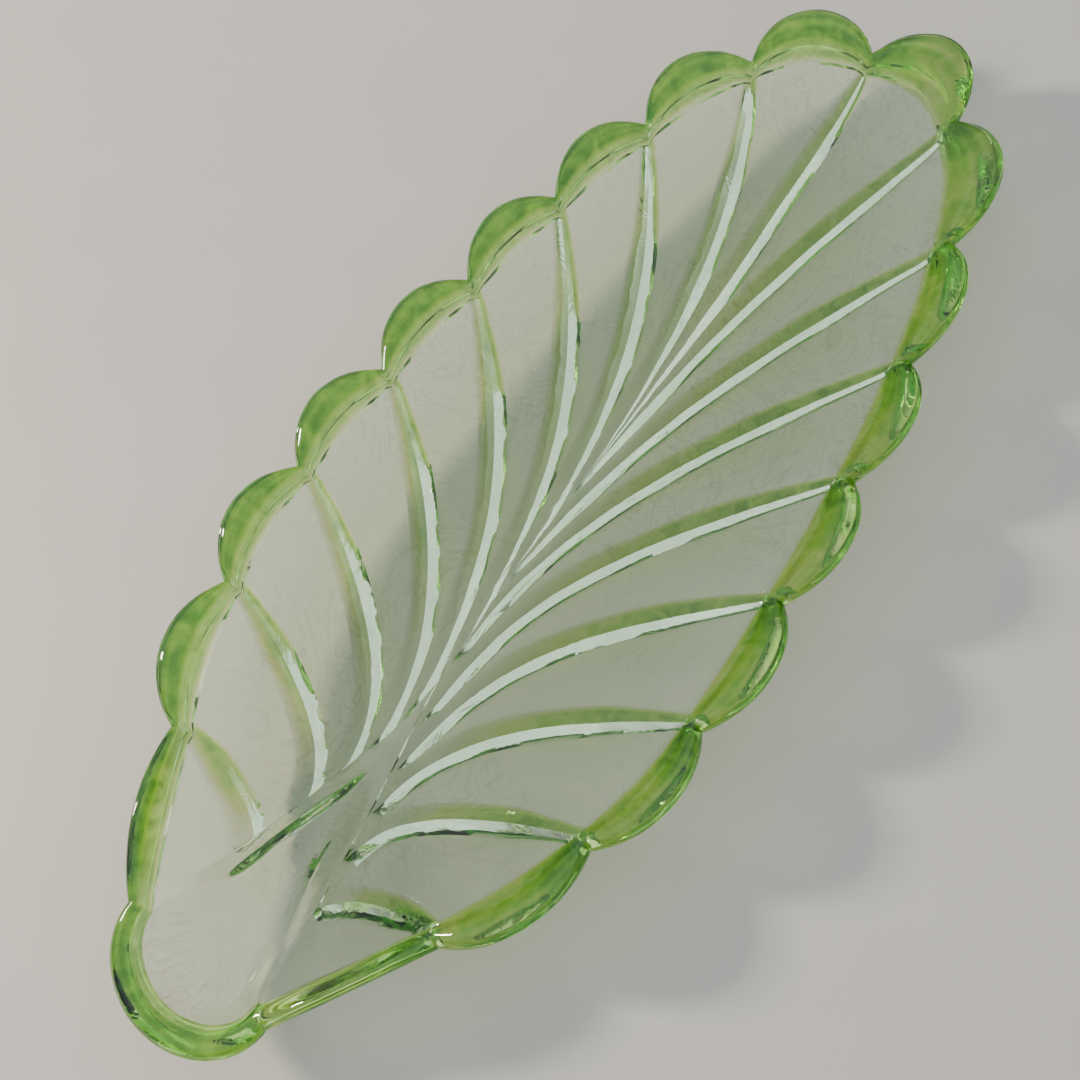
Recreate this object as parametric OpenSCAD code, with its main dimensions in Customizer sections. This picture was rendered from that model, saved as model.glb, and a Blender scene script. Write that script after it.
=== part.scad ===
// Pressed glass leaf dish: a shallow open bowl shaped like a leaf, with a flat stem to hold it by,
// nine rounded lobes down each side, and raised veins on its underside that run into one midrib.
// X runs from the stem to the tip, Z is up, and the base stands on Z = 0.

/* [Leaf outline] */
// Length from the two stem notches to the tip notch
leaf_l = 264; // [220:1:300]
// Half width of the leaf across its fourth pair of notches
leaf_half_w = 56.5; // [50:0.5:62]
// Half width of the leaf across the stem notches
stem_half_w = 20; // [18:0.5:22]
// How full the tip is: 2 is an ellipse, more is squarer
tip_fullness = 2.6; // [2:0.1:3.2]
// Length of the round end of the stem past its notches
stem_end_l = 15.5; // [12:0.5:20]
// How far the tip of the midrib bends to the left
tip_bend = 3.5; // [0:0.5:5]
// How far the midrib lies to the left of the middle of the bowl
midrib_shift = 2.5; // [0:0.5:4]

/* [Lobes and rim] */
// Bulge of the lobe next to the stem, past the line between its notches
stem_lobe_bulge = 1; // [0.5:0.5:4]
// Bulge of a lobe on the side of the leaf
side_lobe_bulge = 6.5; // [4:0.5:10]
// Bulge of the lobe next to the tip lobe
last_lobe_bulge = 9.5; // [6:0.5:12]
// Bulge of the tip lobe
tip_lobe_bulge = 12; // [9:0.5:14]
// How far the lip would climb in mid-lobe if it didn't roll over
lobe_climb = 9.6; // [7:0.1:10.5]
// How far the lip has rolled over at its edge in mid-lobe
lobe_roll = 5.6; // [4:0.1:6]
// How far the lip would climb at a notch if it didn't roll over
notch_climb = 1.8; // [1:0.1:3]
// How far the lip has rolled over at its edge at a notch
notch_roll = 3; // [2:0.1:3.5]
// Thickness of the lip's blunt edge
edge_t = 1.8; // [1.4:0.1:2.2]
// Width of the rim at a notch
rim_w = 3.6; // [3:0.1:5]

/* [Bowl] */
// Height of the rim at its notches
rim_z = 19.6; // [18.5:0.1:22]
// Height of the bowl's floor, on its inner face
floor_z = 7.6; // [7.2:0.1:8]
// Thickness of the glass at the rim
wall_t = 4.6; // [3.8:0.1:5]
// Thickness of the glass at the middle of the floor
floor_t = 4.6; // [4.2:0.1:5]
// Depth of the stem's flat top below the rim
stem_depth = 4.5; // [3:0.5:6]

/* [Veins] */
// Height of a vein under the glass
vein_h = 3; // [1.5:0.1:3.2]
// Width of a vein
vein_w = 7.1; // [4:0.1:7.5]
// Length along the leaf of the vein nearest the tip
vein_run = 126; // [115:1:135]

/* [Base] */
// Length of the ground base pad
base_l = 132; // [110:1:140]
// Width of the ground base pad
base_w = 24; // [18:1:26]

/* [Hidden] */

LEFT = 1;
RIGHT = -1;
LOBES = 9;              // lobes down each side
LAST = LOBES - 1;       // number of the last side notch
WIDEST = 3;             // number of the notch where the leaf is widest
LAST_NOTCH_AT = 0.95;   // where the last side notch stands along the leaf
COLS = 8;               // faces across one lobe
TIP_ROWS = 12;          // rows of points along the vein nearest the tip
RIM_ROWS = [1, 0.9, 0.65, 0.35];   // rows across the lip, from its edge to the bowl
LIP_BEND = 0.35;        // share of the lip's width, from its edge, where its underside is steep
LIP_DROP = 0.68;        // share of the underside's fall that is made there
EDGE_POWER = 6;         // how square the lip's edge is
BOWL_POWER = 1.5;       // roundness of the bowl's cross-section
BOWL_FLAT = 0.12;       // share of the bowl's width that is flat
VEIN_POWER = 2.2;       // how sharply a vein turns into the trunk
TRUNK_POWER = 1.3;      // how fast the trunk narrows away from the stem
END_ROWS = 6;           // rows round each half of the stem's end
STEM_RAMP_L = 57;       // from the stem notches to where the bowl is at its deepest
STEM_RAMP_POWER = 2.4;  // how sharply the bowl rises to the stem
STEM_FLAT_L = 24;       // from the stem notches to the end of the stem's flat top
TIP_RAMP_X = 10;        // where the bowl starts to rise to the tip
BEND_X = 50;            // where the leaf starts to bend
BOW_L = 50;             // how long the midrib takes to move to the left
VEIN_SLIM = 0.55;       // how slim a vein is at the rim
VEIN_SPREAD = 2.5;      // how fast it widens from there
VEIN_RUN_OUT = 10;      // how fast it runs out at the trunk

pitch = LAST_NOTCH_AT * leaf_l / LAST;
stem_x = -leaf_l / 2;
tip_x = leaf_l / 2;
widest_x = stem_x + WIDEST * pitch;

// The lip's inner line: how far it keeps inside the notches all round the leaf
STEM_LIP_L = 2;
TIP_LIP_L = 6;
STEM_LIP_W = 3.8;
STEM_END_LIP = 3.3;
inner_stem_x = stem_x + STEM_LIP_L;
inner_tip_x = tip_x - TIP_LIP_L;
inner_half_w = leaf_half_w - rim_w;
inner_stem_half_w = stem_half_w - STEM_LIP_W;
inner_end_l = stem_end_l - STEM_END_LIP;

// The pad is as thick as the floor's underside is high
base_t = floor_z - floor_t;

function mix(a, b, t) = a + (b - a) * t;
function ease(t) = let (c = max(0, min(1, t))) c * c * (3 - 2 * c);

// Points of a curve that goes round the leaf. s is -1 at the stem, 0 at the widest notch and 1 at the tip
function leaf_x(s, x0, x1) = widest_x + s * (s < 0 ? widest_x - x0 : x1 - widest_x);
function leaf_y(s, w0, w) = s < 0
    ? w0 + (w - w0) * cos(90 * s)
    : w * pow(max(0, 1 - s * s), 1 / tip_fullness);
function notch_line(s) = [leaf_x(s, stem_x, tip_x), leaf_y(s, stem_half_w, leaf_half_w)];
function inner_line(s) =
    [leaf_x(s, inner_stem_x, inner_tip_x), leaf_y(s, inner_stem_half_w, inner_half_w)];

// Where notch i stands, and the place between notches i and i + 1 that is t of the way along
function notch_s(i) = i == LOBES ? 1
    : i < WIDEST ? (i - WIDEST) / WIDEST
    : (i - WIDEST) * pitch / (tip_x - widest_x);
function between(i, t) = i < WIDEST
    ? notch_s(i) + t * (notch_s(i + 1) - notch_s(i))
    : sin(asin(notch_s(i)) + t * (asin(notch_s(i + 1)) - asin(notch_s(i))));

// The scalloped edge: each lobe is one arc from notch to notch
function bulge(i) = i == 0 ? stem_lobe_bulge
    : i == LAST ? tip_lobe_bulge
    : i == LAST - 1 ? last_lobe_bulge
    : side_lobe_bulge;
function lobe_edge(i, t) =
    let (
        a = notch_line(notch_s(i)),
        b = notch_line(notch_s(i + 1)),
        half = norm(b - a) / 2,
        along = (b - a) / (2 * half),
        out = [-along.y, along.x],
        r = (half * half + bulge(i) * bulge(i)) / (2 * bulge(i)),
        turn = asin(min(1, half / r)) * (2 * t - 1)
    )
    (a + b) / 2 + along * r * sin(turn) + out * (r * cos(turn) - r + bulge(i));

// Height of the bowl's inner face over a point of the plan
stem_ramp_x = stem_x + STEM_RAMP_L;
stem_wall_x = inner_stem_x - inner_end_l;
bowl_d = rim_z - floor_z;
function inner_w(x) =
    let (s = x < widest_x ? (x - widest_x) / (widest_x - inner_stem_x)
                          : (x - widest_x) / (inner_tip_x - widest_x))
    max(0.01, leaf_y(min(1, s), inner_stem_half_w, inner_half_w));
function depth_at(x) = bowl_d * (
    x < stem_ramp_x ? 1 - pow((stem_ramp_x - x) / (stem_ramp_x - stem_wall_x), STEM_RAMP_POWER)
    : x > TIP_RAMP_X ? 1 - pow(min(1, (x - TIP_RAMP_X) / (inner_tip_x - TIP_RAMP_X)), 2)
    : 1);
function across(p) = max(0, min(1, p.y / inner_w(p.x)));
function bowl_z(p) = rim_z - depth_at(p.x)
    * (1 - pow(max(0, across(p) - BOWL_FLAT) / (1 - BOWL_FLAT), BOWL_POWER));
function glass_t(p) = floor_t + (wall_t - floor_t) * across(p);

// The veins: vein i is a parabola from the rim down to the trunk, which it meets at vein_end(i)
function vein_end(i) = leaf_x(notch_s(i), inner_stem_x, inner_tip_x)
    - vein_run * sin(90 * pow(i / LAST, 1.3));
trunk_tip_x = vein_end(6);
function trunk_y(x) = x >= trunk_tip_x ? 0
    : inner_stem_half_w * pow((trunk_tip_x - x) / (trunk_tip_x - inner_stem_x), TRUNK_POWER);
function vein_point(i, u) =
    let (
        a = i == 0 ? inner_stem_x : leaf_x(notch_s(i), inner_stem_x, inner_tip_x),
        b = i == 0 ? vein_end(1) : i == LOBES ? vein_end(LAST) : vein_end(i),
        x = a + u * (b - a),
        y1 = trunk_y(b)
    )
    i == 0 ? [x, trunk_y(x)]
    : [x, y1 + (inner_line(notch_s(i)).y - y1) * pow(1 - u, VEIN_POWER)];

// Rows of points down both sides of lobe i. The far side runs on along the trunk for one more row
// with each vein towards the stem, so that all the lobes share their points
function rows(i) = i == 0 ? rows(1) : i == LOBES ? TIP_ROWS : TIP_ROWS + LAST - i;
function near_side(i) = [for (k = [0:rows(i) - 1]) vein_point(i, k / (rows(i) - 1))];
function far_side(i) = i == 0 || i == LAST ? near_side(i + 1)
    : concat(near_side(i + 1), [[vein_end(i), trunk_y(vein_end(i))]]);

// A vein is slimmer and lower at the rim, and runs out where it meets the trunk
function slim(u) = min(1, VEIN_SLIM + VEIN_SPREAD * u);
function vein_half(u) = vein_w / 2 * slim(u);
function crest_at(u) = vein_h * slim(u) * min(1, VEIN_RUN_OUT * (1 - u));

// The bottom face never goes below the top of the base pad
function bottom_z(p, top, crest) = max(base_t, top - glass_t(p) - crest);

// The leaf is bent a little towards its tip, its midrib bows to the left, and it is centred
function bow(p) = midrib_shift * (1 - across(p))
    * ease((p.x - stem_ramp_x) / BOW_L) * ease((tip_x - p.x) / BOW_L);
function bend_y(x) = tip_bend * pow(max(0, (x - BEND_X) / (tip_x - BEND_X)), 3);
function bend_slope(x) = 3 * tip_bend / (tip_x - BEND_X)
    * pow(max(0, (x - BEND_X) / (tip_x - BEND_X)), 2);
function bent(p, side) =
    [p.x - side * p.y * bend_slope(p.x), side * p.y + bend_y(p.x) + bow(p)];
max_x = max([for (t = [0:0.02:1]) bent(lobe_edge(LAST, t), RIGHT).x]);
min_x = stem_x - stem_end_l;
centre_x = (max_x + min_x) / 2;
function placed(p, side, z) = let (q = bent(p, side)) [q.x - centre_x, q.y, z];

// Heights across the lip. r is 0 at the bowl and 1 at the edge, lobe is 0 at a notch and 1 in mid-lobe
function lip_climb(lobe) = mix(notch_climb, lobe_climb, lobe);
function lip_roll(lobe) = mix(notch_roll, lobe_roll, lobe);
function lip_skin(r, lobe) = rim_z + lip_climb(lobe) * r - lip_roll(lobe) * pow(r, 3);
function lip_fall(out) = out < LIP_BEND
    ? LIP_DROP * out / LIP_BEND
    : LIP_DROP + (1 - LIP_DROP) * (out - LIP_BEND) / (1 - LIP_BEND);
function lip_under(r, lobe) = mix(lip_skin(1, lobe) - edge_t, rim_z - wall_t, lip_fall(1 - r));
function lip_middle(r, lobe) = (lip_skin(r, lobe) + lip_under(r, lobe)) / 2;
function lip_half(r, lobe) =
    (lip_skin(r, lobe) - lip_under(r, lobe)) / 2 * pow(1 - pow(r, EDGE_POWER), 1 / EDGE_POWER);
function lip_top(r, lobe) = lip_middle(r, lobe) + lip_half(r, lobe);
function lip_bottom(r, lobe, crest) =
    lip_middle(r, lobe) - lip_half(r, lobe) - crest * (1 - r);
function lobe_at(t) = 1 - pow(2 * t - 1, 2);

// Where column j stands between the two veins of a lobe, and the crest of the vein that it is on
function column_t(j, foot) = j == 0 ? 0
    : j == COLS ? 1
    : foot + (1 - 2 * foot) * (j - 1) / (COLS - 2);
function crest(i, j, k) = j == 0 && i > 0 ? crest_at(k / (rows(i) - 1))
    : j == COLS && k < rows(i + 1) ? crest_at(k / (rows(i + 1) - 1))
    : 0;

// Points of a lobe as [x, y, top, bottom], row by row from its edge to its point in the trunk
function rim_points(i, foot) = [for (r = RIM_ROWS, j = [0:COLS])
    let (
        t = column_t(j, foot),
        p = mix(inner_line(between(i, t)), lobe_edge(i, t), r),
        lobe = lobe_at(t)
    )
    [p.x, p.y, lip_top(r, lobe), lip_bottom(r, lobe, crest(i, j, 0))]];
function bowl_points(i, a, b) = [for (k = [0:len(a) - 2], j = [0:COLS])
    let (
        u = k / (len(a) - 1),
        gap = norm(a[k] - b[k]),
        t = column_t(j, min(vein_half(u) / gap, 0.45)),
        swell = inner_line(between(i, t)) - mix(a[0], b[0], t),
        p = mix(a[k], b[k], t) + pow(1 - u, 3) * swell,
        top = k == 0 ? rim_z : bowl_z(p)
    )
    [p.x, p.y, top,
        k == 0 ? lip_bottom(0, 0, crest(i, j, 0)) : bottom_z(p, top, crest(i, j, k))]];
function lobe_points(i) =
    let (
        a = near_side(i),
        b = far_side(i),
        last = a[len(a) - 1],
        top = bowl_z(last)
    )
    concat(
        rim_points(i, vein_half(0) / norm(a[0] - b[0])),
        bowl_points(i, a, b),
        [[last.x, last.y, top, bottom_z(last, top, 0)]]
    );

// The stem's round end, from its right notch (m = -END_ROWS) to its left one (m = END_ROWS)
function end_inner(m) = [
    inner_stem_x - inner_end_l * cos(90 * m / END_ROWS),
    inner_stem_half_w * sin(90 * m / END_ROWS)];
function end_outer(m) = [
    stem_x - stem_end_l * cos(90 * m / END_ROWS),
    stem_half_w * sin(90 * m / END_ROWS)];

// The stem's flat top slopes down into the bowl between these two places
slope_from_x = stem_x + STEM_FLAT_L;
slope_to_x = stem_ramp_x;
function stem_depth_at(x) =
    mix(stem_depth, bowl_d, ease((x - slope_from_x) / (slope_to_x - slope_from_x)));

// Rows of half chords across the stem as [x, half width], and the places of the columns on them
trunk_line = concat(
    [for (p = near_side(0)) [p.x, p.y]],
    [for (i = [2:6]) [vein_end(i), trunk_y(vein_end(i))]]
);
STEM_COLUMNS = [-1, -0.82, -0.6, -0.3, 0, 0.3, 0.6, 0.82, 1];
stem_rows = concat([for (m = [1:END_ROWS - 1]) end_inner(m)], trunk_line);
STEM_EDGE_FLANK = 2;      // width of the slope up to the stem's flat top
STEM_UNDER_FLANK = 4;     // width of the slope under it, further in
TONGUE_BLEND = 12;        // how long the dished end takes to turn into the tongue
function end_sigma(p) =
    norm([p.y / inner_stem_half_w, (inner_stem_x - p.x) / inner_end_l]);
function stem_point(row, c) =
    let (
        p = [row.x, row.y * c],
        bank = [row.x, row.y],
        round_end = row.x < inner_stem_x,
        flat = rim_z - stem_depth_at(row.x),
        flat_bottom = max(base_t, flat - wall_t),
        bank_top = round_end ? rim_z : bowl_z(bank),
        bank_bottom = round_end ? rim_z - wall_t : bottom_z(bank, bank_top, 0),
        in = row.y * (1 - abs(c)),
        dished = pow(round_end ? end_sigma(p) : abs(c), 4),
        tongue = ease((row.x - inner_stem_x) / TONGUE_BLEND),
        top = mix(bank_top, flat, ease(in / STEM_EDGE_FLANK)),
        bottom = mix(bank_bottom, flat_bottom, ease((in - STEM_EDGE_FLANK) / STEM_UNDER_FLANK))
    )
    [p.x, p.y, mix(mix(flat, bank_top, dished), top, tongue),
        mix(mix(flat_bottom, bank_bottom, dished), bottom, tongue)];
function stem_points() = concat(
    [for (r = RIM_ROWS, m = [-END_ROWS:END_ROWS])
        let (p = mix(end_inner(m), end_outer(m), r))
        [p.x, p.y, lip_top(r, 0), lip_bottom(r, 0, 0)]],
    [[end_inner(0).x, 0, rim_z, rim_z - wall_t]],
    [for (k = [0:len(stem_rows) - 2], c = STEM_COLUMNS) stem_point(stem_rows[k], c)],
    [stem_point(stem_rows[len(stem_rows) - 1], 0)]
);

// A closed solid between the top and the bottom of a sheet of points. The first `edge` points are
// where the two meet, tops are the faces of the top, and border is the rest of the sheet's border
function real_faces(list) =
    [for (f = list) if (f[0] != f[1] && f[1] != f[2] && f[2] != f[0]) f];
module sheet_solid(points, edge, tops, border, side) {
    under = len(points) - edge;
    function below(v) = v < edge ? v : v + under;
    top_points = [for (p = points) placed(p, side, p[2])];
    under_points = [for (k = [edge:len(points) - 1]) placed(points[k], side, points[k][3])];
    bottoms = [for (f = tops) [below(f[2]), below(f[1]), below(f[0])]];
    walls = [for (k = [0:len(border) - 2])
        let (a = border[k], b = border[k + 1])
        each [[a, b, below(b)], [a, below(b), below(a)]]];
    faces = real_faces(concat(tops, bottoms, walls));
    polyhedron(
        points = concat(top_points, under_points),
        faces = side == LEFT ? faces : [for (f = faces) [f[2], f[1], f[0]]],
        convexity = 6
    );
}

// Two faces for each square of a grid of points, cols + 1 points to a row
function grid_faces(first, count, cols) = [for (k = [0:count - 2], j = [0:cols - 1])
    let (a = first + k * (cols + 1) + j, b = a + cols + 1)
    each [[a, a + 1, b + 1], [a, b + 1, b]]];

// One lobe of the leaf, from its rounded edge to its point in the trunk, with half of each vein
// beside it. Lobe 1 is next to the stem and lobe 9 is at the tip
module lobe(number, side) {
    i = number - 1;
    width = COLS + 1;
    count = len(RIM_ROWS) + rows(i) - 1;
    point = count * width;
    color([0.55, 0.74, 0.38])
        sheet_solid(
            lobe_points(i),
            width,
            concat(
                grid_faces(0, count, COLS),
                [for (j = [0:COLS - 1]) [point - width + j, point - width + j + 1, point]]
            ),
            concat(
                [point],
                [for (k = [count - 1:-1:0]) k * width + COLS],
                [for (k = [0:count - 1]) k * width],
                [point]
            ),
            side
        );
}

// The flat stem that the dish is held by, with its rounded end and its tongue down into the bowl
module stem() {
    band = 2 * END_ROWS + 1;
    cols = len(STEM_COLUMNS) - 1;
    middle = len(RIM_ROWS) * band;
    first = middle + 1;
    count = len(stem_rows) - 1;
    tip = first + count * (cols + 1);
    function inner_edge(m) = m == 0 ? middle
        : m > 0 ? first + (m - 1) * (cols + 1) + cols
        : first + (-m - 1) * (cols + 1);
    last_band = middle - band;
    color([0.45, 0.68, 0.3])
        sheet_solid(
            stem_points(),
            band,
            concat(
                grid_faces(0, len(RIM_ROWS), band - 1),
                [for (m = [-END_ROWS:END_ROWS - 1])
                    let (a = last_band + m + END_ROWS)
                    each [[a, a + 1, inner_edge(m + 1)], [a, inner_edge(m + 1), inner_edge(m)]]],
                [for (c = [0:cols - 1]) [middle, first + c + 1, first + c]],
                grid_faces(first, count, cols),
                [for (c = [0:cols - 1]) [tip - cols - 1 + c, tip - cols + c, tip]]
            ),
            concat(
                [for (k = [0:len(RIM_ROWS) - 1]) k * band],
                [for (k = [END_ROWS - 1:count - 1]) first + k * (cols + 1)],
                [tip],
                [for (k = [count - 1:-1:END_ROWS - 1]) first + k * (cols + 1) + cols],
                [for (k = [len(RIM_ROWS) - 1:-1:0]) k * band + band - 1]
            ),
            LEFT
        );
}

// The ground pad that the dish stands on: two arcs that meet in a point at each end
base_x = -16;
module base_pad() {
    half_l = base_l / 2;
    half_w = base_w / 2;
    r = (half_l * half_l + half_w * half_w) / base_w;
    color([0.62, 0.8, 0.5])
        translate([base_x - centre_x, midrib_shift / 2, 0])
            linear_extrude(base_t)
                intersection() {
                    translate([0, r - half_w]) circle(r, $fn = 360);
                    translate([0, half_w - r]) circle(r, $fn = 360);
                }
}

stem();
lobe(1, LEFT);  // lobe_left_1
lobe(2, LEFT);  // lobe_left_2
lobe(3, LEFT);  // lobe_left_3
lobe(4, LEFT);  // lobe_left_4
lobe(5, LEFT);  // lobe_left_5
lobe(6, LEFT);  // lobe_left_6
lobe(7, LEFT);  // lobe_left_7
lobe(8, LEFT);  // lobe_left_8
lobe(9, LEFT);  // lobe_left_9
lobe(1, RIGHT);  // lobe_right_1
lobe(2, RIGHT);  // lobe_right_2
lobe(3, RIGHT);  // lobe_right_3
lobe(4, RIGHT);  // lobe_right_4
lobe(5, RIGHT);  // lobe_right_5
lobe(6, RIGHT);  // lobe_right_6
lobe(7, RIGHT);  // lobe_right_7
lobe(8, RIGHT);  // lobe_right_8
lobe(9, RIGHT);  // lobe_right_9
base_pad();
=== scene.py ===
"""A pressed green glass leaf dish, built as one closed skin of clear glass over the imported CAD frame.

Lengths in the shape functions are in millimetres, as in the part's source, with X from the stem to
the tip. The finished mesh is in metres, in the CAD frame.
"""

import math

import bpy
import numpy as np
from mathutils import Matrix, Vector


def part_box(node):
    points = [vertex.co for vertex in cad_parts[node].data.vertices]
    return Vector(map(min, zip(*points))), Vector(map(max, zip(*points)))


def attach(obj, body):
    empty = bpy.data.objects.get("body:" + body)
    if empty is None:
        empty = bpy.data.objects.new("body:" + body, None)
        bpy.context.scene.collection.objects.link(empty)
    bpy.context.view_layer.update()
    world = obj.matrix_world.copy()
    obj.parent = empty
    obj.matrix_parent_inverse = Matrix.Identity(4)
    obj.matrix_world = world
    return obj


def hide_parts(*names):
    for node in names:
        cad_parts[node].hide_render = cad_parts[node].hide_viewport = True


MM = 0.001
TINY = 1e-9    # stands in for a length of nothing where it divides

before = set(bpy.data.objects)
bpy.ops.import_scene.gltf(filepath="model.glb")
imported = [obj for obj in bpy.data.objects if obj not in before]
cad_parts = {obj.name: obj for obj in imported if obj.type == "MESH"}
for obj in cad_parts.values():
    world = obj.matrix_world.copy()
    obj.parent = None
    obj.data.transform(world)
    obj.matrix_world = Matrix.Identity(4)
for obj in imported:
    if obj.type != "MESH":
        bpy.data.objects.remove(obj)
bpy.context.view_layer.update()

# ---------------------------------------------------------------- camera
CAMERA_AT = Vector((-0.0739, -0.0942, 0.2333))
CAMERA_AIM = Vector((-0.0185, -0.0048, 0.0196))
CAMERA_UP = Vector((0.7753, 0.4855, 0.4040))
CAMERA_LENS = 36.67
CAMERA_SENSOR_W = 36
CAMERA_NEAREST = 0.01


def make_camera():
    camera = bpy.data.objects.new("camera", bpy.data.cameras.new("camera"))
    bpy.context.scene.collection.objects.link(camera)
    back = (CAMERA_AT - CAMERA_AIM).normalized()
    right = CAMERA_UP.cross(back).normalized()
    up = back.cross(right)
    camera.matrix_world = Matrix.Translation(CAMERA_AT) @ Matrix((right, up, back)).transposed().to_4x4()
    camera.data.lens = CAMERA_LENS
    camera.data.sensor_width = CAMERA_SENSOR_W
    camera.data.clip_start = CAMERA_NEAREST
    bpy.context.scene.camera = camera


make_camera()

# ---------------------------------------------------------------- the dish's dimensions, mm
LEAF_L = 264           # from the two stem notches to the tip notch
LEAF_HALF_W = 56.5     # half width across the fourth pair of notches
STEM_HALF_W = 20       # half width across the stem notches
TIP_FULLNESS = 2.6     # 2 is an elliptical tip, more is squarer
STEM_END_L = 15.5      # length of the round end of the stem past its notches
TIP_BEND = 3.5         # how far the tip of the midrib bends to the left
MIDRIB_SHIFT = 2.5     # how far the midrib lies to the left of the middle of the bowl
SIDE_BULGE = 6.5       # how far the arc of a lobe stands out past its two notches
STEM_BULGE = 1         # the same for the lobe next to the stem
LAST_BULGE = 9.5       # for the last but one
TIP_BULGE = 12         # and for the one at the tip
RIM_W = 3.6            # width of the lip at a notch
RIM_Z = 19.6           # height of the bowl's edge
FLOOR_Z = 7.6          # height of the bowl's floor
WALL_T = 4.6           # thickness of the glass at the lip
FLOOR_T = 4.6          # and at the middle of the floor
STEM_DEPTH = 4.5       # depth of the stem's flat top below the bowl's edge
STEM_LIP_L = 2         # from the stem notches to the bowl, along the leaf
STEM_LIP_W = 3.8       # and across it
STEM_END_LIP = 3.3     # how much shorter the inside of the stem's round end is
TIP_LIP_L = 6          # from the bowl to the tip notch

LEFT, RIGHT = 1, -1
LOBES = 9
LAST = LOBES - 1
WIDEST = 3
LAST_NOTCH_AT = 0.95   # share of the leaf's length where its last pair of notches is
BOWL_POWER = 1.5       # how the bowl rises from its floor to its edge: 1 is straight
BOWL_FLAT = 0.12       # share of the half width that is flat floor
STEM_RAMP_L = 57       # from the stem notches to where the bowl is at its deepest
STEM_RAMP_POWER = 2.4  # how late the floor rises towards the stem: 1 is straight
STEM_FLAT_L = 24       # from the stem notches to the end of the stem's flat top
TIP_RAMP_X = 10        # place where the floor starts to rise to the tip
BEND_X = 50            # place where the midrib starts to bend
BOW_L = 50             # how long the midrib takes to move to the left

# The veins
VEIN_H = 3.0
VEIN_RUN = 126         # length along the leaf of the vein nearest the tip
VEIN_POWER = 2.2       # how sharply a vein turns into the trunk
VEIN_REACH_POWER = 1.3    # how fast the veins get shorter towards the stem
TRUNK_POWER = 1.3      # how the trunk narrows: 1 is straight
TRUNK_VEIN = 6         # the vein at whose end the trunk closes
VEIN_SLIM = 0.55       # how slim a vein is at the lip
VEIN_SPREAD = 2.5      # how fast it widens from there
VEIN_RUN_OUT = 10      # how fast it runs out at the trunk
STEEP_FLANK = 3.4      # width of a vein's flank towards the stem
GENTLE_FLANK = 3.7     # width of its flank towards the tip
SWELL_POWER = 3        # how fast the curve of the bowl's edge straightens out towards the trunk

# The stem's top
STEM_EDGE_FLANK = 2    # width of the slope up to its flat top
STEM_UNDER_FLANK = 4   # width of the slope under it, further in
TONGUE_BLEND = 12      # how long its dished end takes to turn into the tongue
DISH_POWER = 4         # how flat the bottom of the dished end is

PITCH = LAST_NOTCH_AT * LEAF_L / LAST
STEM_X = -LEAF_L / 2
TIP_X = LEAF_L / 2
WIDEST_X = STEM_X + WIDEST * PITCH
INNER_STEM_X = STEM_X + STEM_LIP_L
INNER_TIP_X = TIP_X - TIP_LIP_L
INNER_HALF_W = LEAF_HALF_W - RIM_W
INNER_STEM_HALF_W = STEM_HALF_W - STEM_LIP_W
INNER_END_L = STEM_END_L - STEM_END_LIP
BOWL_D = RIM_Z - FLOOR_Z
STEM_RAMP_X = STEM_X + STEM_RAMP_L
STEM_WALL_X = INNER_STEM_X - INNER_END_L
SLOPE_FROM_X = STEM_X + STEM_FLAT_L

# How finely the skin is divided
TIP_ROWS = 42      # rows along the vein nearest the tip
TRUNK_STEP = 4     # more rows for each vein towards the stem
END_ROWS = 24      # rows round each half of the stem's end
# Rows of the lip, by their r
RIM_R = np.array([1, 0.985, 0.96, 0.93, 0.9, 0.87, 0.83, 0.79, 0.75, 0.7, 0.65, 0.6, 0.54, 0.48, 0.42,
                  0.36, 0.3, 0.23, 0.18, 0.09, 0])
FLANK_COLUMNS = np.array([0, 0.3, 0.65, 1.0, 1.15, 1.5, 2.1])    # columns beside a vein, in flanks
WIDEST_COLUMNS = 0.45      # share of a lobe they may fill on each side
MIDDLE_COLUMNS = 15        # columns between them
LEAST_SKEW = 0.3           # rows that slant more than this sine are spaced as if at it
# Distances of the stem's columns from its border
STEM_COLUMNS = np.array([0, 0.2, 0.45, 0.75, 1.1, 1.5, 2.0, 2.6, 3.3, 4.2, 5.2, 6.4])
STEM_COLUMNS_FILL = 0.8    # share of the stem's half width they may fill
STEM_MIDDLE_COLUMNS = 6    # columns between them
WELD_STEPS = 1e4           # steps in a millimetre to which points of the plan are told apart
SHARP_FROM = math.radians(32)    # edges sharper than this are shaded as edges

# The lip's section. r is 0 at the bowl and 1 at the lip's edge
LIP_CLIMB = 1.8, 9.6   # how steeply the lip's top starts to climb, at a notch and in mid-lobe
LIP_ROLL = 3.0, 5.6    # how far it has rolled over at its edge, at the same places
LIP_BEND = 0.35        # share of the lip's width, from its edge, where the underside is steep
LIP_DROP = 0.68        # share of the underside's fall that is made there
EDGE_HALF = 0.9        # half the height of the lip's blunt edge
EDGE_POWER = 6         # how square the edge is

# Marks of the mould, finer than the CAD shape
LIP_RIPPLE = 0.3       # height of the ripples that run round the lip's underside
LIP_RIPPLES = 3        # how many there are
GROOVE_AT = 0.9        # place on the lip of the fine groove in its top
GROOVE_HALF_W = 0.035  # half its width, as a share of the lip's
GROOVE_DEPTH = 0.022   # and its depth
WAVE = 0.018           # height of each of the waves left in the skin by the mould
WAVES = 7              # how many of them cross each other
WAVE_LENGTH = 6, 17    # shortest and longest of them
WAVE_SEED = 11

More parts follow.
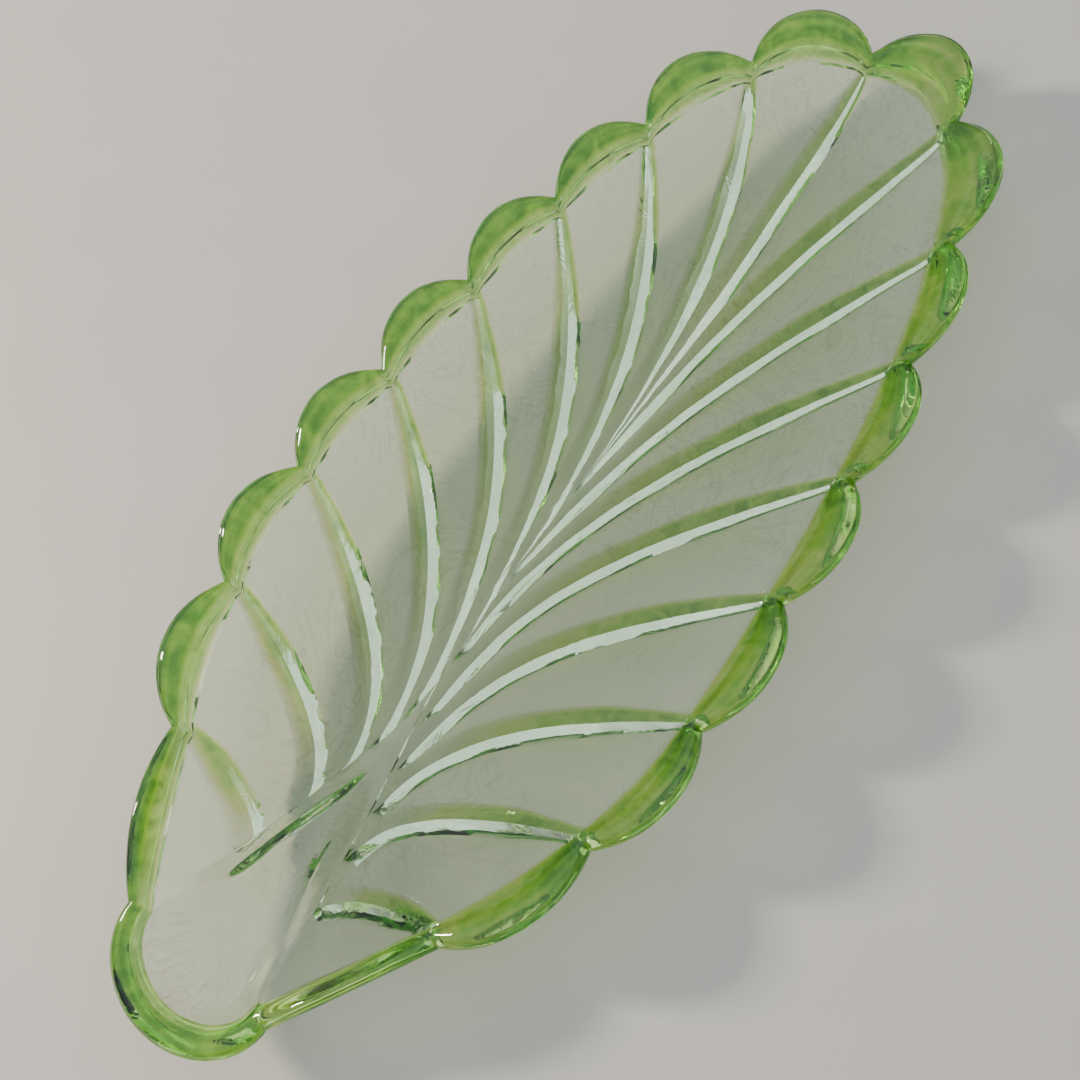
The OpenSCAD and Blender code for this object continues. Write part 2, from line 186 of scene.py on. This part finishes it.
# Painted green on the glass's surface, standing in for the deep green of light reflected along inside
# the thick lip; the alternating numbers paint its dark lines and lighter bands. The numbers of the
# greens are at the places of r in the first list
PAINTED_GREEN_AT = 0.04, 0.28, 0.32, 0.42, 0.54, 0.65, 0.75, 0.83, 0.9, 0.96, 1.0
LEFT_REFLECTION_GREEN = 0, 0.26, 0.95, 0.85, 1.0, 0.75, 1.0, 0.75, 1.0, 0.6, 1.0
RIGHT_REFLECTION_GREEN = 0.45, 0.62, 0.72, 0.5, 0.7, 0.46, 0.72, 0.44, 0.78, 0.5, 1.0
STEM_REFLECTION_GREEN_FROM = 0.34  # where on the left lip's painted greens the stem's lip starts
END_REFLECTION_GREEN = 0.4         # how much more painted green a lobe of the right side gets towards the tip
VEIN_REFLECTION_EDGE = 4     # how crisp the painted green of a vein's flanks is, standing in for light reflected along inside the glass
FAR_REFLECTION = 0.3         # share of it on the flank towards the stem
VEIN_REFLECTION_TO = 0.75    # share of the vein's length where it has run out


def mix(a, b, t):
    return a + (b - a) * t


def ease(t):
    c = np.clip(t, 0, 1)
    return c * c * (3 - 2 * c)


def power(base, exponent):
    return np.power(np.maximum(base, 0), exponent)


def leaf_x(s, x0, x1):
    return WIDEST_X + s * np.where(s < 0, WIDEST_X - x0, x1 - WIDEST_X)


def leaf_y(s, w0, w):
    side = w * power(1 - s * s, 1 / TIP_FULLNESS)
    return np.where(s < 0, w0 + (w - w0) * np.cos(np.pi / 2 * s), side)


def notch_line(s):
    s = np.asarray(s, float)
    return np.stack([leaf_x(s, STEM_X, TIP_X), leaf_y(s, STEM_HALF_W, LEAF_HALF_W)], -1)


def inner_line(s):
    s = np.asarray(s, float)
    return np.stack([leaf_x(s, INNER_STEM_X, INNER_TIP_X),
                     leaf_y(s, INNER_STEM_HALF_W, INNER_HALF_W)], -1)


def notch_s(i):
    if i == LOBES:
        return 1.0
    return (i - WIDEST) / WIDEST if i < WIDEST else (i - WIDEST) * PITCH / (TIP_X - WIDEST_X)


def between(i, t):
    """The place between notches i and i + 1 that is t of the way along."""
    a, b = notch_s(i), notch_s(i + 1)
    if i < WIDEST:
        return mix(a, b, t)
    return np.sin(mix(math.asin(a), math.asin(b), t))


def bulge(i):
    return {0: STEM_BULGE, LAST: TIP_BULGE, LAST - 1: LAST_BULGE}.get(i, SIDE_BULGE)


def lobe_edge(i, t):
    """The scalloped edge of lobe i: one arc from notch to notch."""
    a, b = notch_line(notch_s(i)), notch_line(notch_s(i + 1))
    half = np.linalg.norm(b - a) / 2
    along = (b - a) / (2 * half)
    out = np.array([-along[1], along[0]])
    r = (half * half + bulge(i) ** 2) / (2 * bulge(i))
    turn = math.asin(min(1, half / r)) * (2 * t - 1)
    return ((a + b) / 2 + along * (r * np.sin(turn))[..., None]
            + out * (r * np.cos(turn) - r + bulge(i))[..., None])


def inner_w(x):
    s = np.where(x < WIDEST_X, (x - WIDEST_X) / (WIDEST_X - INNER_STEM_X),
                 (x - WIDEST_X) / (INNER_TIP_X - WIDEST_X))
    return np.maximum(0.01, leaf_y(np.minimum(1, s), INNER_STEM_HALF_W, INNER_HALF_W))


def depth_at(x):
    stem = 1 - power((STEM_RAMP_X - x) / (STEM_RAMP_X - STEM_WALL_X), STEM_RAMP_POWER)
    tip = 1 - power(np.minimum(1, (x - TIP_RAMP_X) / (INNER_TIP_X - TIP_RAMP_X)), 2)
    return BOWL_D * np.where(x < STEM_RAMP_X, stem, np.where(x > TIP_RAMP_X, tip, 1))


def across(p):
    return np.clip(p[..., 1] / inner_w(p[..., 0]), 0, 1)


def bowl_z(p):
    return RIM_Z - depth_at(p[..., 0]) * (
        1 - power((across(p) - BOWL_FLAT) / (1 - BOWL_FLAT), BOWL_POWER))


def glass_t(p):
    return mix(FLOOR_T, WALL_T, across(p))


def vein_end(i):
    return float(leaf_x(np.float64(notch_s(i)), INNER_STEM_X, INNER_TIP_X)
                 - VEIN_RUN * math.sin(math.pi / 2 * (i / LAST) ** VEIN_REACH_POWER))


TRUNK_TIP_X = vein_end(TRUNK_VEIN)


def trunk_y(x):
    return INNER_STEM_HALF_W * power((TRUNK_TIP_X - x) / (TRUNK_TIP_X - INNER_STEM_X), TRUNK_POWER)


def vein(i):
    """Points down vein i from the rim to the trunk, and the share of its length each stands at."""
    rows = TIP_ROWS if i == LOBES else TIP_ROWS + TRUNK_STEP * (LAST - max(i, 1))
    u = np.linspace(0, 1, rows)
    a = INNER_STEM_X if i == 0 else float(leaf_x(np.float64(notch_s(i)), INNER_STEM_X, INNER_TIP_X))
    b = vein_end(1) if i == 0 else vein_end(min(i, LAST))
    x = a + u * (b - a)
    if i == 0:
        return np.stack([x, trunk_y(x)], -1), u
    y1 = float(trunk_y(b))
    y0 = float(inner_line(notch_s(i))[1])
    return np.stack([x, y1 + (y0 - y1) * power(1 - u, VEIN_POWER)], -1), u


def trunk_steps(i):
    """Points along the trunk from the end of vein i + 1 to the end of vein i."""
    x = mix(vein_end(i + 1), vein_end(i), np.arange(1, TRUNK_STEP + 1) / TRUNK_STEP)
    return np.stack([x, trunk_y(x)], -1)


def far_side(i):
    points = vein(i + 1)[0]
    return points if i in (0, LAST) else np.concatenate([points, trunk_steps(i)])


def slim(u):
    return np.minimum(1, VEIN_SLIM + VEIN_SPREAD * u)


def crest_at(u):
    return VEIN_H * slim(u) * np.minimum(1, VEIN_RUN_OUT * (1 - u))


def ridge(i, points, flank):
    """How far vein i stands below the glass at each point of the plan. The stem's border has none."""
    if i == 0:
        return np.zeros(points.shape[:-1])
    line, u = vein(i)
    line = np.concatenate([[notch_line(notch_s(i))], line])
    u = np.concatenate([[0], u])
    flat = points.reshape(-1, 2)
    a, b = line[:-1], line[1:]
    step = b - a
    share = np.einsum("psk,sk->ps", flat[:, None] - a, step) / np.maximum((step**2).sum(-1), TINY)
    share = np.clip(share, 0, 1)
    away = np.linalg.norm(flat[:, None] - (a + share[..., None] * step), axis=-1)
    nearest = away.argmin(1)
    row = np.arange(len(flat))
    at = mix(u[nearest], u[nearest + 1], share[row, nearest])
    q = away[row, nearest] / (flank * slim(at))
    return (crest_at(at) * np.maximum(1 - q, 0)).reshape(points.shape[:-1])


def veins_at(i, points):
    """How far the two veins beside lobe i stand below the glass."""
    return np.maximum(ridge(i, points, GENTLE_FLANK), ridge(i + 1, points, STEEP_FLANK))


def bow(p):
    x = p[..., 0]
    return MIDRIB_SHIFT * (1 - across(p)) * ease((x - STEM_RAMP_X) / BOW_L) * ease((TIP_X - x) / BOW_L)


def bent(p, side):
    """Points of the plan on one side of the leaf, bent as the whole leaf is."""
    x, y = p[..., 0], p[..., 1]
    q = np.maximum(0, (x - BEND_X) / (TIP_X - BEND_X))
    slope = 3 * TIP_BEND / (TIP_X - BEND_X) * q * q
    return np.stack([x - side * y * slope, side * y + TIP_BEND * q**3 + bow(p)], -1)


# ---------------------------------------------------------------- patches of the skin
# A patch is a grid of (plan point, top, bottom, painted green of the top, painted green of the bottom).
# Patches share the points along their borders.
patches = []


def skew(line, towards):
    """Sine of the angle between a vein's line and the rows that cross it."""
    run = np.gradient(line, axis=0)
    cross = run[:, 0] * towards[:, 1] - run[:, 1] * towards[:, 0]
    size = np.linalg.norm(run, axis=1) * np.linalg.norm(towards, axis=1)
    return np.clip(np.abs(cross) / np.maximum(size, TINY), LEAST_SKEW, 1)


def column_places(near, far, u):
    """Where the columns of a lobe stand, as shares of the way from its near vein to its far one."""
    rows = far - near
    gap = np.maximum(np.linalg.norm(rows, axis=1), TINY)
    sides = []
    for line, flank in ((near, GENTLE_FLANK), (far, STEEP_FLANK)):
        reach = flank * slim(u) / (gap * skew(line, rows))
        reach = np.minimum(reach, WIDEST_COLUMNS / FLANK_COLUMNS[-1])
        sides.append(reach[:, None] * FLANK_COLUMNS)
    left, right = sides[0], 1 - sides[1][:, ::-1]
    middle = np.linspace(0, 1, MIDDLE_COLUMNS + 2)[1:-1]
    return np.concatenate([left, mix(left[:, -1:], right[:, :1], middle), right], 1)


def lip_section(r, lobe, width):
    """Top and bottom of the lip at r, 1 at its edge. lobe is 0 at a notch and 1 in mid-lobe, and
    width is how wide the lip is there."""
    climb, roll = mix(*LIP_CLIMB, lobe), mix(*LIP_ROLL, lobe)
    top = RIM_Z + climb * r - roll * r**3
    fall = np.interp(1 - r, [0, LIP_BEND, 1], [0, LIP_DROP, 1])
    bottom = mix(RIM_Z + climb - roll - 2 * EDGE_HALF, RIM_Z - WALL_T, fall)
    bottom = bottom + LIP_RIPPLE * np.sin(2 * np.pi * LIP_RIPPLES * r) * ease(4 * (1 - r))
    middle, half = (top + bottom) / 2, (top - bottom) / 2
    half = half * power(1 - r**EDGE_POWER, 1 / EDGE_POWER)
    groove = GROOVE_DEPTH * width * np.maximum(0, 1 - np.abs(r - GROOVE_AT) / GROOVE_HALF_W)
    return middle + half - groove, middle - half


def lip_reflection_green(r, side, t):
    """How much painted green the lip gets at r, standing in for light reflected along inside it. t runs
    along the lobe, from 0 at the stem to 1 at the tip.
    """
    if side == LEFT:
        return np.interp(r, PAINTED_GREEN_AT, LEFT_REFLECTION_GREEN) + 0 * t
    return np.interp(r, PAINTED_GREEN_AT, RIGHT_REFLECTION_GREEN) + END_REFLECTION_GREEN * ease(2 * t - 1) * ease(8 * r)


def add_lobe(i, side):
    """The skin of lobe i: its stretch of bowl as rows from the lip to the trunk, then its lip."""
    near, far = vein(i)[0], far_side(i)
    u = np.linspace(0, 1, len(near))[:, None]
    t = column_places(near, far, u[:, 0])
    swell = inner_line(between(i, t)) - mix(near[0], far[0], t[..., None])
    plan = mix(near[:, None], far[:, None], t[..., None]) + power(1 - u, SWELL_POWER)[..., None] * swell
    top = bowl_z(plan)
    top[0] = RIM_Z
    bottom = top - glass_t(plan) - veins_at(i, plan)

    r = RIM_R[:-1, None]
    t0 = t[:1]
    inner, outer = inner_line(between(i, t0)), lobe_edge(i, t0)
    lip = mix(inner, outer, r[..., None])
    lip_top, lip_bottom = lip_section(r, 1 - (2 * t0 - 1) ** 2,
                                      np.linalg.norm(outer - inner, axis=-1))
    lip_bottom = lip_bottom - veins_at(i, lip) * (1 - r)

    # Painted green on the lip and the veins' flanks, standing in for light reflected along inside the
    # glass
    green = ridge(i, plan, GENTLE_FLANK) + FAR_REFLECTION * ridge(i + 1, plan, STEEP_FLANK)
    vein_reflection_green = np.minimum(1, VEIN_REFLECTION_EDGE * green / VEIN_H) * (1 - ease(u / VEIN_REFLECTION_TO))
    vein_lip_reflection_green = vein_reflection_green[:1] * (1 - r)
    painted_reflection_green = lip_reflection_green(r, side, t0)
    patches.append((bent(np.concatenate([lip, plan]), side),
                    np.concatenate([lip_top, top]), np.concatenate([lip_bottom, bottom]),
                    np.concatenate([painted_reflection_green, 0 * top]),
                    np.concatenate([np.maximum(painted_reflection_green, vein_lip_reflection_green), vein_reflection_green])))


def end_line(m, half_w, x0, length):
    turn = np.pi / 2 * m / END_ROWS
    return np.stack([x0 - length * np.cos(turn), half_w * np.sin(turn)], -1)


def add_stem_band():
    """The stem's lip, round its end from one stem notch to the other."""
    m = np.arange(-END_ROWS, END_ROWS + 1)
    inner = end_line(m, INNER_STEM_HALF_W, INNER_STEM_X, INNER_END_L)
    outer = end_line(m, STEM_HALF_W, STEM_X, STEM_END_L)
    r = RIM_R[:, None]
    plan = mix(inner, outer, r[..., None])
    top, bottom = lip_section(r, np.zeros((1, len(m))), np.linalg.norm(outer - inner, axis=-1)[None])
    # painted green of the stem's lip, standing in for light reflected along inside it
    painted_green = lip_reflection_green(mix(STEM_REFLECTION_GREEN_FROM, 1, r), LEFT, 0 * top)
    patches.append((plan, top, bottom, painted_green, painted_green))


def stem_bank():
    """The left border of the stem, from the middle of its round end to where the trunk closes."""
    parts = [end_line(np.arange(END_ROWS), INNER_STEM_HALF_W, INNER_STEM_X, INNER_END_L), vein(0)[0]]
    for i in range(1, TRUNK_VEIN):
        parts += [trunk_steps(i)[-2::-1], vein(i + 1)[0][-1:]]
    return np.concatenate(parts)


def add_stem_tongue():
    """The stem's flat top and its tongue down into the bowl, as rows across it."""
    bank = stem_bank()
    half = bank[:, 1:]
    scale = np.minimum(1, STEM_COLUMNS_FILL * half / STEM_COLUMNS[-1])
    inside = scale * STEM_COLUMNS
    share = np.where(half > TINY, inside / np.maximum(half, TINY),
                     np.linspace(0, STEM_COLUMNS_FILL, len(STEM_COLUMNS)))
    middle = np.linspace(0, 1, STEM_MIDDLE_COLUMNS + 2)[1:-1]
    left = -(1 - share)
    right = -left[:, ::-1]
    c = np.concatenate([left, mix(left[:, -1:], right[:, :1], middle), right], 1)
    x = np.repeat(bank[:, :1], c.shape[1], 1)
    plan = np.stack([x, half * c], -1)

    sigma = np.where(x < INNER_STEM_X, np.hypot(plan[..., 1] / INNER_STEM_HALF_W,
                                                (INNER_STEM_X - x) / INNER_END_L), np.abs(c))
    depth = mix(STEM_DEPTH, BOWL_D, ease((x - SLOPE_FROM_X) / (STEM_RAMP_X - SLOPE_FROM_X)))
    flat = RIM_Z - depth
    round_end = bank[:, :1] < INNER_STEM_X
    bank_top = np.where(round_end, RIM_Z, bowl_z(bank)[:, None])
    bank_bottom = np.where(round_end, RIM_Z - WALL_T, (bowl_z(bank) - glass_t(bank))[:, None])
    dished = mix(flat, bank_top, sigma**DISH_POWER)
    dished_bottom = mix(flat - WALL_T, bank_bottom, sigma**DISH_POWER)
    step_in = half * (1 - np.abs(c))
    top = mix(bank_top, flat, ease(step_in / STEM_EDGE_FLANK))
    bottom = mix(bank_bottom, flat - WALL_T, ease((step_in - STEM_EDGE_FLANK) / STEM_UNDER_FLANK))
    tongue = ease((x - INNER_STEM_X) / TONGUE_BLEND)
    top = mix(dished, top, tongue)
    bottom = mix(dished_bottom, bottom, tongue)
    patches.append((bent_stem(plan), top, bottom, 0 * top, 0 * top))


def bent_stem(plan):
    """The stem is straight, so only the bow of the midrib moves it."""
    p = np.stack([plan[..., 0], np.abs(plan[..., 1])], -1)
    return np.stack([plan[..., 0], plan[..., 1] + bow(p)], -1)


for side in (LEFT, RIGHT):
    for lobe in range(LOBES):
        add_lobe(lobe, side)
add_stem_band()
add_stem_tongue()


def weld(patches):
    """One list of plan points for all patches, and the grid of point numbers of each patch."""
    flat = np.concatenate([p[0].reshape(-1, 2) for p in patches])
    _, first, number = np.unique(np.round(flat * WELD_STEPS).astype(np.int64), axis=0,
                                 return_index=True, return_inverse=True)
    number = number.reshape(-1)
    grids, start = [], 0
    for plan, *_ in patches:
        size = plan.shape[0] * plan.shape[1]
        grids.append(number[start:start + size].reshape(plan.shape[:2]))
        start += size
    return flat[first], first, grids


def waves(plan, dice):
    """The faint unevenness of one face of the glass, as the sum of long waves in all directions."""
    height = 0
    for _ in range(WAVES):
        turn = dice.uniform(0, np.pi)
        length = dice.uniform(*WAVE_LENGTH)
        start = dice.uniform(0, 2 * np.pi)
        along = plan @ np.array([np.cos(turn), np.sin(turn)])
        height = height + WAVE * np.sin(2 * np.pi * along / length + start)
    return height


def skin():
    plan, first, grids = weld(patches)
    top = np.concatenate([p[1].reshape(-1) for p in patches])[first]
    bottom = np.concatenate([p[2].reshape(-1) for p in patches])[first]
    painted_green = np.concatenate([p[3].reshape(-1) for p in patches])[first]
    under_painted_green = np.concatenate([p[4].reshape(-1) for p in patches])[first]
    # Along X, the end of the stem goes where the frame has it
    stem_end = STEM_X - STEM_END_L
    plan = plan - [stem_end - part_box("stem")[0].x / MM, 0]
    dice = np.random.default_rng(WAVE_SEED)
    top = top + waves(plan, dice)
    bottom = np.maximum(bottom + waves(plan, dice), 0)

    edge = np.zeros(len(plan), bool)
    for grid in grids[:-1]:
        edge[grid[0]] = True
    under = np.where(edge, np.arange(len(plan)), -1)
    under[~edge] = len(plan) + np.arange((~edge).sum())
    points = np.concatenate([np.column_stack([plan, top]),
                             np.column_stack([plan, bottom])[~edge]]) * MM

    faces = set()
    for grid in grids:
        for a, b in zip(grid[:-1], grid[1:]):
            for j in range(len(a) - 1):
                ring = [a[j], a[j + 1], b[j + 1], b[j]]
                ring = [v for k, v in enumerate(ring) if v != ring[k - 1]]
                if len(set(ring)) < 3 or len(set(ring)) != len(ring):
                    continue
                x, y = plan[ring].T
                if np.dot(x, np.roll(y, -1)) < np.dot(y, np.roll(x, -1)):
                    ring.reverse()
                faces.add(tuple(int(v) for v in ring))
    faces = sorted(faces)
    painted_green = np.concatenate([painted_green, under_painted_green[~edge]])
    return points, painted_green, faces + [tuple(int(under[v]) for v in reversed(f)) for f in faces]


def make_dish():
    points, painted_green, faces = skin()
    mesh = bpy.data.meshes.new("leaf_dish")
    mesh.from_pydata(points.tolist(), [], faces)
    # the painted green, standing in for light reflected inside the glass, goes on as an attribute
    mesh.attributes.new("painted_reflection_green", "FLOAT", "POINT").data.foreach_set("value", painted_green)
    mesh.polygons.foreach_set("use_smooth", [True] * len(mesh.polygons))
    mesh.set_sharp_from_angle(angle=SHARP_FROM)
    dish = bpy.data.objects.new("leaf_dish", mesh)
    bpy.context.scene.collection.objects.link(dish)
    return dish


dish = make_dish()


# ---------------------------------------------------------------- nodes of a material
def set_or_link(tree, socket, value):
    """value is a number, a colour or another node's output."""
    if isinstance(value, bpy.types.NodeSocket):
        tree.links.new(value, socket)
    else:
        socket.default_value = value


def noise(tree, scale, detail, distortion=0, space="Object"):
    texture = tree.nodes.new("ShaderNodeTexNoise")
    texture.inputs["Scale"].default_value = scale
    texture.inputs["Detail"].default_value = detail
    texture.inputs["Distortion"].default_value = distortion
    place = tree.nodes.new("ShaderNodeTexCoord")
    tree.links.new(place.outputs[space], texture.inputs["Vector"])
    return texture.outputs["Fac"]


def spread(tree, value, low, high, to_low, to_high):
    """value, with low to high stretched over to_low to to_high and held beyond them."""
    node = tree.nodes.new("ShaderNodeMapRange")
    for name, number in (("From Min", low), ("From Max", high), ("To Min", to_low), ("To Max", to_high)):
        node.inputs[name].default_value = number
    tree.links.new(value, node.inputs["Value"])
    return node.outputs["Result"]


def calculate(tree, operation, a, b):
    node = tree.nodes.new("ShaderNodeMath")
    node.operation = operation
    set_or_link(tree, node.inputs[0], a)
    set_or_link(tree, node.inputs[1], b)
    return node.outputs[0]


def mix_colors(tree, factor, a, b, blend="MIX"):
    node = tree.nodes.new("ShaderNodeMix")
    node.data_type = "RGBA"
    node.blend_type = blend
    for name, value in (("Factor", factor), ("A", a), ("B", b)):
        set_or_link(tree, node.inputs[name], value)
    return node.outputs["Result"]


def color_ramp(tree, value, stops):
    node = tree.nodes.new("ShaderNodeValToRGB")
    elements = node.color_ramp.elements
    for position, color in stops:
        elements.new(position).color = color
    elements.remove(elements[-1])
    elements.remove(elements[0])
    tree.links.new(value, node.inputs["Fac"])
    return node.outputs["Color"]


# ---------------------------------------------------------------- glass
IOR = 1.51
ABSORB = (20.0, 7.5, 30.0)    # absorption of red, green and blue, per metre of glass
DENSITY = 31.5                # any density over the strongest of them gives the same glass
CLEAR = (0.97, 1, 0.95, 1)    # the plain surface
CHILLED = (0.75, 0.77, 0.72, 1)
# Painted colours of the surface, standing in for light reflected inside the thick glass, from no green
# to the deepest
REFLECTION_GREENS = ((0.01, (1, 1, 1, 1)), (0.35, (0.72, 0.84, 0.20, 1)), (0.62, (0.32, 0.70, 0.05, 1)),
          (0.99, (0.07, 0.29, 0.01, 1)))
STREAK_NOISE = 150, 3, 1.2    # scale, detail and distortion of the streaks in the painted greens
CHILL_NOISE = 42, 3, 0.8      # of the noise whose contours are the chill marks
PATCH_NOISE = 28, 1           # of the patches that show them
WEAR_NOISE = 700, 4           # and of the wear
CONTOURS = 17                 # how many chill marks lie between the noise's lowest and highest
MARK_HALF_W = 0.13            # half the width of a mark, as a share of the step between two
BUMP_SCALE = 0.00006          # metres for each step of the contours
BUMP_STRENGTH = 0.4
WORN = 0.06                   # roughness where the glass is most worn


def chill_contours(tree):
    """Fine wavy lines left by a cool mould: the contours of a soft noise, 0 on a line."""
    steps = calculate(tree, "MULTIPLY", noise(tree, *CHILL_NOISE), CONTOURS)
    return calculate(tree, "PINGPONG", steps, 0.5)


def glass_color(tree, contours):
    """Clear glass with faint chill marks in places, times the painted greens of the lip and the veins,
    which stand in for light reflected inside the glass.
    """
    where = spread(tree, noise(tree, *PATCH_NOISE), 0.42, 0.62, 0, 1)
    marks = calculate(tree, "MULTIPLY", spread(tree, contours, 0, MARK_HALF_W, 1, 0), where)
    painted_green = tree.nodes.new("ShaderNodeAttribute")
    painted_green.attribute_name = "painted_reflection_green"
    streaks = spread(tree, noise(tree, *STREAK_NOISE), 0.3, 0.7, 0.62, 1.15)
    green = color_ramp(tree, calculate(tree, "MULTIPLY", painted_green.outputs["Fac"], streaks), REFLECTION_GREENS)
    return mix_colors(tree, 1, mix_colors(tree, marks, CLEAR, CHILLED), green, "MULTIPLY")


def glass_material():
    material = bpy.data.materials.new("green_glass")
    material.use_nodes = True
    tree = material.node_tree
    tree.nodes.clear()
    out = tree.nodes.new("ShaderNodeOutputMaterial")
    glass = tree.nodes.new("ShaderNodeBsdfPrincipled")
    glass.inputs["Transmission Weight"].default_value = 1
    glass.inputs["IOR"].default_value = IOR
    contours = chill_contours(tree)
    tree.links.new(glass_color(tree, contours), glass.inputs["Base Color"])
    wear = spread(tree, noise(tree, *WEAR_NOISE), 0.55, 0.75, 0, WORN)
    tree.links.new(wear, glass.inputs["Roughness"])

    bump = tree.nodes.new("ShaderNodeBump")
    bump.inputs["Strength"].default_value = BUMP_STRENGTH
    bump.inputs["Distance"].default_value = BUMP_SCALE
    tree.links.new(contours, bump.inputs["Height"])
    tree.links.new(bump.outputs[0], glass.inputs["Normal"])
    tree.links.new(glass.outputs[0], out.inputs["Surface"])

    absorb = tree.nodes.new("ShaderNodeVolumeAbsorption")
    absorb.inputs["Density"].default_value = DENSITY
    absorb.inputs["Color"].default_value = tuple(1 - a / DENSITY for a in ABSORB) + (1,)
    tree.links.new(absorb.outputs[0], out.inputs["Volume"])
    return material


dish.data.materials.append(glass_material())
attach(dish, "root")
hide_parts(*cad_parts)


# ---------------------------------------------------------------- floor and light
FLOOR_HALF = 3
FLOOR_GAP = 0.0003
FLOOR_DARK = (0.41, 0.39, 0.375, 1)
FLOOR_LIGHT = (0.45, 0.43, 0.415, 1)
FLOOR_NOISE = 30, 4
FLOOR_ROUGHNESS = 0.6


def make_floor():
    mesh = bpy.data.meshes.new("floor")
    corners = [(x * FLOOR_HALF, y * FLOOR_HALF, 0) for x, y in ((-1, -1), (1, -1), (1, 1), (-1, 1))]
    mesh.from_pydata(corners, [], [(0, 1, 2, 3)])
    floor = bpy.data.objects.new("floor", mesh)
    floor.location.z = -FLOOR_GAP
    bpy.context.scene.collection.objects.link(floor)
    material = bpy.data.materials.new("floor")
    material.use_nodes = True
    tree = material.node_tree
    shader = tree.nodes["Principled BSDF"]
    cloth = mix_colors(tree, noise(tree, *FLOOR_NOISE), FLOOR_DARK, FLOOR_LIGHT)
    tree.links.new(cloth, shader.inputs["Base Color"])
    shader.inputs["Roughness"].default_value = FLOOR_ROUGHNESS
    mesh.materials.append(material)


make_floor()

HORIZON = (0.1, (0.20, 0.19, 0.18, 1))
OVERHEAD = (0.65, (0.90, 0.97, 1.0, 1))
CLOUD_NOISE = 2.6, 3, 0.6
SKY_STRENGTH = 1.4


def make_sky():
    """A soft sky, dark at the horizon and bright overhead, with faint clouds."""
    world = bpy.data.worlds.new("sky")
    bpy.context.scene.world = world
    world.use_nodes = True
    tree = world.node_tree
    place = tree.nodes.new("ShaderNodeTexCoord")
    height = tree.nodes.new("ShaderNodeSeparateXYZ")
    tree.links.new(place.outputs["Generated"], height.inputs[0])
    clouds = spread(tree, noise(tree, *CLOUD_NOISE, "Generated"), 0.3, 0.7, 0.72, 1.12)
    shade = tree.nodes.new("ShaderNodeVectorMath")
    shade.operation = "SCALE"
    tree.links.new(color_ramp(tree, height.outputs["Z"], (HORIZON, OVERHEAD)), shade.inputs[0])
    tree.links.new(clouds, shade.inputs["Scale"])
    background = tree.nodes["Background"]
    tree.links.new(shade.outputs[0], background.inputs["Color"])
    background.inputs["Strength"].default_value = SKY_STRENGTH


make_sky()

KEY_AT = Vector((-0.45, 0.9, 0.62))
KEY_SIZE = 0.15
KEY_POWER = 20
KEY_COLOR = (1, 0.86, 0.62)


def make_key_light():
    light = bpy.data.lights.new("key", "AREA")
    light.size = KEY_SIZE
    light.energy = KEY_POWER
    light.color = KEY_COLOR
    lamp = bpy.data.objects.new("key", light)
    lamp.location = KEY_AT
    lamp.rotation_euler = (-KEY_AT).to_track_quat("-Z", "Y").to_euler()
    bpy.context.scene.collection.objects.link(lamp)


make_key_light()

BOUNCES = 24
GLOSSY_BOUNCES = 8
scene = bpy.context.scene
scene.cycles.max_bounces = BOUNCES
scene.cycles.transmission_bounces = BOUNCES
scene.cycles.glossy_bounces = GLOSSY_BOUNCES
